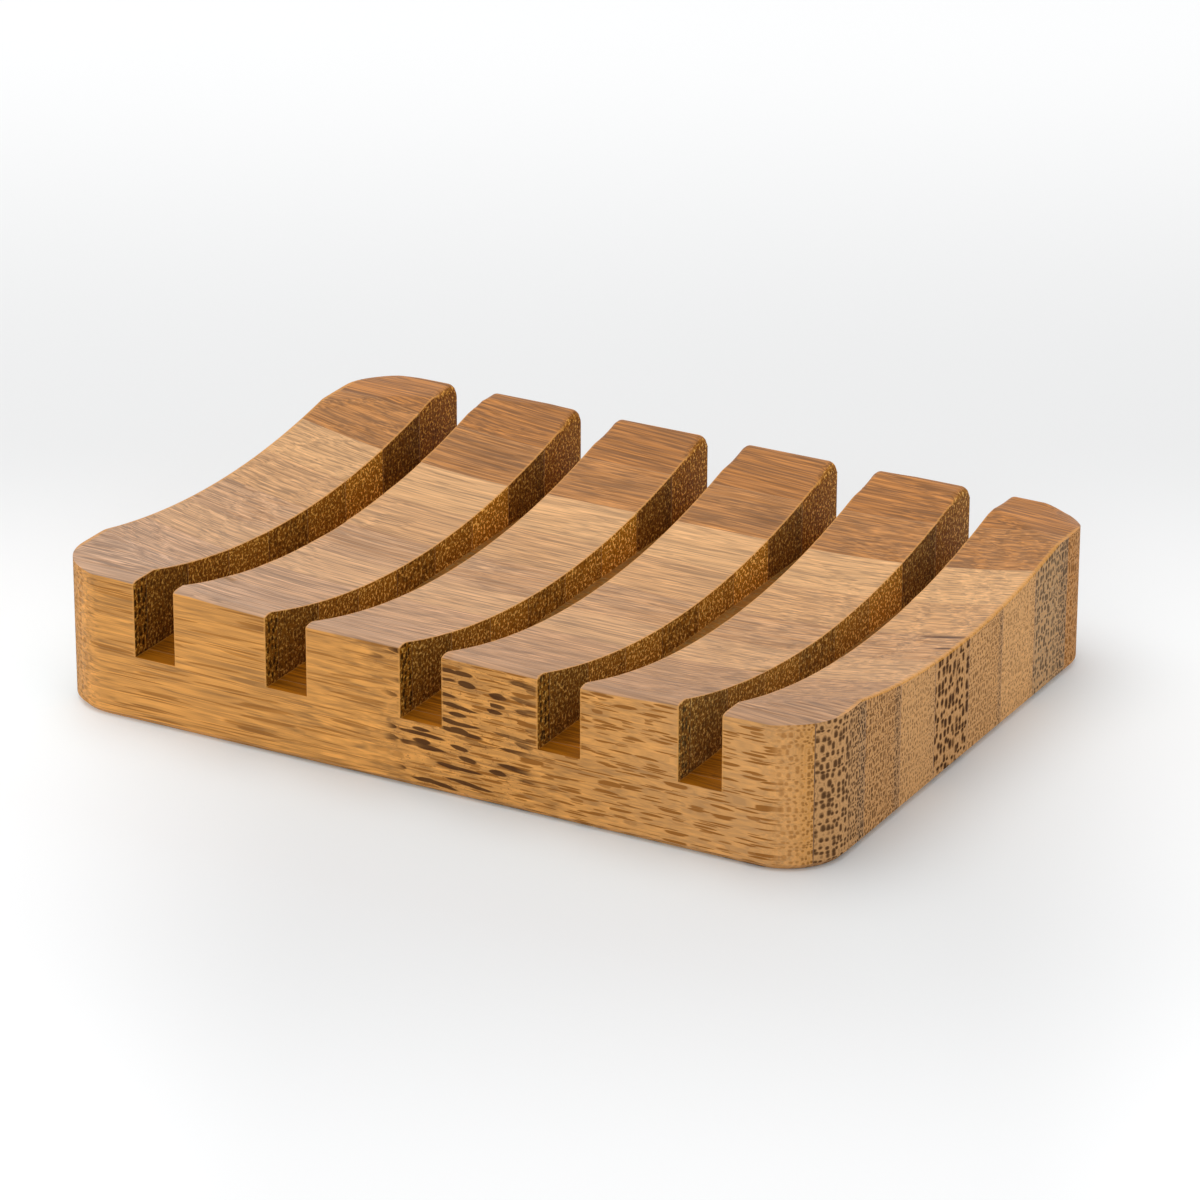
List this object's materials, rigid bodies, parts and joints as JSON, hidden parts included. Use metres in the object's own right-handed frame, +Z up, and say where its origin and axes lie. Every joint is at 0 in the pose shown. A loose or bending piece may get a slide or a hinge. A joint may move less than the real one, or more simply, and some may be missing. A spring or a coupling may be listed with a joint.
{
  "type": "soap dish",
  "caption": "Rectangular soap dish of edge-glued bamboo laths, with a dished top for the soap, cross slots that let water run off, and rounded corners.",
  "frame": {"origin": "centre of the flat underside", "axes": "+X along the laths to the right, -Y to the front, where the narrow trimmed lath is, +Z up"},
  "size_m": [0.1126, 0.0836, 0.0198],
  "materials": {
    "bamboo": "oiled satin",
    "glue_line": "matt"
  },
  "bodies": {
    "root": {"front_lath": "bamboo", "second_lath": "bamboo", "third_lath": "bamboo", "fourth_lath": "bamboo", "middle_lath": "bamboo", "sixth_lath": "bamboo", "seventh_lath": "bamboo", "eighth_lath": "bamboo", "rear_lath": "bamboo", "glue_line_1": "glue_line", "glue_line_2": "glue_line", "glue_line_3": "glue_line", "glue_line_4": "glue_line", "glue_line_5": "glue_line", "glue_line_6": "glue_line", "glue_line_7": "glue_line", "glue_line_8": "glue_line"}
  },
  "joints": []
}
